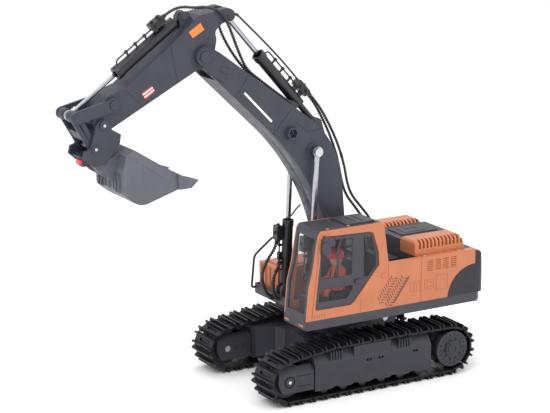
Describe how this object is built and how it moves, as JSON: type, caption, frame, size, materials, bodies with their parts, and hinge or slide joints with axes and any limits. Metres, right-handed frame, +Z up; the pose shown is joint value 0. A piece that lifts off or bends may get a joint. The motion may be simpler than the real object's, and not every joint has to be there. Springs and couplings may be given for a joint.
{
  "type": "toy excavator",
  "caption": "Toy crawler excavator with swinging house, cab and driver, curved boom, arm, linked bucket and hydraulic cylinders.",
  "frame": {"origin": "middle of the footprint on the ground", "axes": "+X forward, towards the bucket; +Y to the cab side; +Z up"},
  "size_m": [0.3987, 0.1508, 0.3624],
  "materials": {
    "orange_plastic": "moulded, light satin",
    "dark_grey_plastic": "moulded, fine grain",
    "boom_grey_plastic": "moulded, fine grain",
    "track_black": "black moulded, slight sheen",
    "frame_grey_plastic": "moulded, fine grain",
    "steel_rod": "polished",
    "silver_screw": "zinc plated",
    "red_plastic": "gloss",
    "window_clear": "smoked clear plastic",
    "hose_black": "corrugated black",
    "seat_black": "moulded",
    "driver_orange": "painted figure",
    "motor_metal": "zinc plated can",
    "board_green": "solder mask",
    "battery_blue": "shrink wrap",
    "gear_white": "acetal",
    "black_plastic": "moulded"
  },
  "bodies": {
    "undercarriage": {"carbody": "frame_grey_plastic", "carbody_bottom_cover": "black_plastic", "left_track_frame": "frame_grey_plastic", "right_track_frame": "frame_grey_plastic", "left_idler_guard": "frame_grey_plastic", "right_idler_guard": "frame_grey_plastic", "left_track_chain": "track_black", "right_track_chain": "track_black", "track_axles": "steel_rod", "track_rollers": "frame_grey_plastic", "drive_gearboxes": "black_plastic", "slew_gear": "gear_white", "undercarriage_screws": "silver_screw"},
    "house": {"deck": "dark_grey_plastic", "left_side_panel": "orange_plastic", "right_side_panel": "orange_plastic", "counterweight": "dark_grey_plastic", "left_hood": "orange_plastic", "right_hood": "orange_plastic", "engine_cover": "dark_grey_plastic", "right_tank": "orange_plastic", "cab_shell": "dark_grey_plastic", "cab_side_frames": "orange_plastic", "cab_door": "dark_grey_plastic", "cab_windows": "window_clear", "driver": "driver_orange", "driver_seat": "seat_black", "handrail": "black_plastic", "house_pins": "steel_rod", "swing_motor": "motor_metal", "battery_pack": "battery_blue", "control_board": "board_green", "house_screws": "silver_screw", "front_hoses": "hose_black"},
    "boom": {"boom_left_shell": "boom_grey_plastic", "boom_right_shell": "boom_grey_plastic", "boom_pins": "steel_rod", "boom_hose": "hose_black"},
    "arm": {"arm_left_shell": "boom_grey_plastic", "arm_right_shell": "boom_grey_plastic", "arm_pins": "steel_rod", "arm_hoses": "hose_black"},
    "bucket": {"quick_coupler": "boom_grey_plastic", "link_pin": "silver_screw", "bucket": "boom_grey_plastic"},
    "left_sprocket": {"left_sprocket": "frame_grey_plastic"},
    "right_sprocket": {"right_sprocket": "frame_grey_plastic"},
    "left_idler": {"left_idler": "frame_grey_plastic"},
    "right_idler": {"right_idler": "frame_grey_plastic"},
    "slew_pinion": {"slew_pinion": "gear_white"},
    "power_switch": {"power_switch": "black_plastic"},
    "boom_cylinder_barrels": {"boom_cylinder_barrels": "black_plastic"},
    "boom_cylinder_rods": {"boom_cylinder_rods": "steel_rod"},
    "arm_cylinder_barrel": {"arm_cylinder_barrel": "black_plastic"},
    "arm_cylinder_rod": {"arm_cylinder_rod": "steel_rod"},
    "rocker": {"rocker": "boom_grey_plastic"},
    "bucket_link": {"bucket_link": "boom_grey_plastic"},
    "bucket_cylinder_barrel": {"bucket_cylinder_barrel": "black_plastic"},
    "bucket_cylinder_rod": {"bucket_cylinder_rod": "steel_rod"},
    "coupler_button": {"coupler_button": "red_plastic"}
  },
  "joints": [
    {"name": "house_swing", "type": "hinge", "parent": "undercarriage", "child": "house", "pos_m": [-0.0715, 0, 0.06], "axis": [0, 0, 1], "continuous": true},
    {"name": "slew_pinion_spin", "type": "hinge", "parent": "house", "child": "slew_pinion", "pos_m": [-0.1015, 0, 0.055], "axis": [0, 0, 1], "continuous": true},
    {"name": "left_sprocket_spin", "type": "hinge", "parent": "undercarriage", "child": "left_sprocket", "pos_m": [-0.1605, 0.0572, 0.0255], "axis": [0, 1, 0], "continuous": true},
    {"name": "left_idler_spin", "type": "hinge", "parent": "undercarriage", "child": "left_idler", "pos_m": [0.0168, 0.0572, 0.023], "axis": [0, 1, 0], "continuous": true},
    {"name": "right_sprocket_spin", "type": "hinge", "parent": "undercarriage", "child": "right_sprocket", "pos_m": [-0.1605, -0.0572, 0.0255], "axis": [0, 1, 0], "continuous": true},
    {"name": "right_idler_spin", "type": "hinge", "parent": "undercarriage", "child": "right_idler", "pos_m": [0.0168, -0.0572, 0.023], "axis": [0, 1, 0], "continuous": true},
    {"name": "power_switch_slide", "type": "slide", "parent": "house", "child": "power_switch", "axis": [0, 1, 0], "range_m": [0, 0.004]},
    {"name": "boom_lift", "type": "hinge", "parent": "house", "child": "boom", "pos_m": [-0.0715, 0, 0.097], "axis": [0, -1, 0], "range_deg": [-35, 10], "deforming": ["boom_hose", "front_hoses"]},
    {"name": "boom_barrel_tilt", "type": "hinge", "parent": "house", "child": "boom_cylinder_barrels", "pos_m": [-0.0345, 0, 0.0785], "axis": [0, -1, 0], "range_deg": [-31.7, 9.09], "deforming": ["front_hoses"]},
    {"name": "boom_rod_tilt", "type": "hinge", "parent": "boom", "child": "boom_cylinder_rods", "pos_m": [-0.042, 0, 0.2196], "axis": [0, -1, 0], "range_deg": [-1.01, 3.4]},
    {"name": "arm_swing", "type": "hinge", "parent": "boom", "child": "arm", "pos_m": [0.0695, 0, 0.317], "axis": [0, 1, 0], "range_deg": [-8, 40], "deforming": ["arm_hoses", "boom_hose"]},
    {"name": "arm_barrel_tilt", "type": "hinge", "parent": "boom", "child": "arm_cylinder_barrel", "pos_m": [-0.052, 0, 0.2425], "axis": [0, 1, 0], "range_deg": [-0.91, 4.35], "deforming": ["arm_hoses", "boom_hose"]},
    {"name": "arm_rod_tilt", "type": "hinge", "parent": "arm", "child": "arm_cylinder_rod", "pos_m": [0.0407, 0, 0.3502], "axis": [0, 1, 0], "range_deg": [-35.75, 7.19]},
    {"name": "bucket_curl", "type": "hinge", "parent": "arm", "child": "bucket", "pos_m": [0.1689, 0, 0.2665], "axis": [0, -1, 0], "range_deg": [-8, 60]},
    {"name": "rocker_swing", "type": "hinge", "parent": "arm", "child": "rocker", "pos_m": [0.1584, 0, 0.2831], "axis": [0, -1, 0], "range_deg": [-4.58, 34]},
    {"name": "bucket_link_swing", "type": "hinge", "parent": "rocker", "child": "bucket_link", "pos_m": [0.194, 0, 0.2753], "axis": [0, -1, 0], "range_deg": [-5.36, 0.76]},
    {"name": "bucket_barrel_tilt", "type": "hinge", "parent": "arm", "child": "bucket_cylinder_barrel", "pos_m": [0.0841, 0, 0.3521], "axis": [0, -1, 0], "range_deg": [-1.1, 7.96], "deforming": ["arm_hoses"]},
    {"name": "bucket_rod_tilt", "type": "hinge", "parent": "rocker", "child": "bucket_cylinder_rod", "pos_m": [0.194, 0, 0.2753], "axis": [0, -1, 0], "range_deg": [-26.1, 3.52]},
    {"name": "coupler_button_press", "type": "slide", "parent": "bucket", "child": "coupler_button", "axis": [-1, 0, 0], "range_m": [0, 0.0025], "stiffness_N_per_m": 150}
  ],
  "couplings": [
    {"joint": "slew_pinion_spin", "follows": "house_swing", "ratio": 4},
    {"joint": "left_idler_spin", "follows": "left_sprocket_spin", "ratio": 1.1404},
    {"joint": "right_idler_spin", "follows": "right_sprocket_spin", "ratio": 1.1404},
    {"joint": "boom_barrel_tilt", "follows": "boom_lift", "ratio": 0.9042},
    {"joint": "boom_rod_tilt", "follows": "boom_lift", "ratio": -0.0958},
    {"joint": "arm_barrel_tilt", "follows": "arm_swing", "ratio": 0.1076},
    {"joint": "arm_rod_tilt", "follows": "arm_swing", "ratio": -0.8924},
    {"joint": "rocker_swing", "follows": "bucket_curl", "ratio": 0.5659},
    {"joint": "bucket_link_swing", "follows": "bucket_curl", "ratio": -0.0885},
    {"joint": "bucket_barrel_tilt", "follows": "bucket_curl", "ratio": 0.1318},
    {"joint": "bucket_rod_tilt", "follows": "bucket_curl", "ratio": -0.4341}
  ]
}
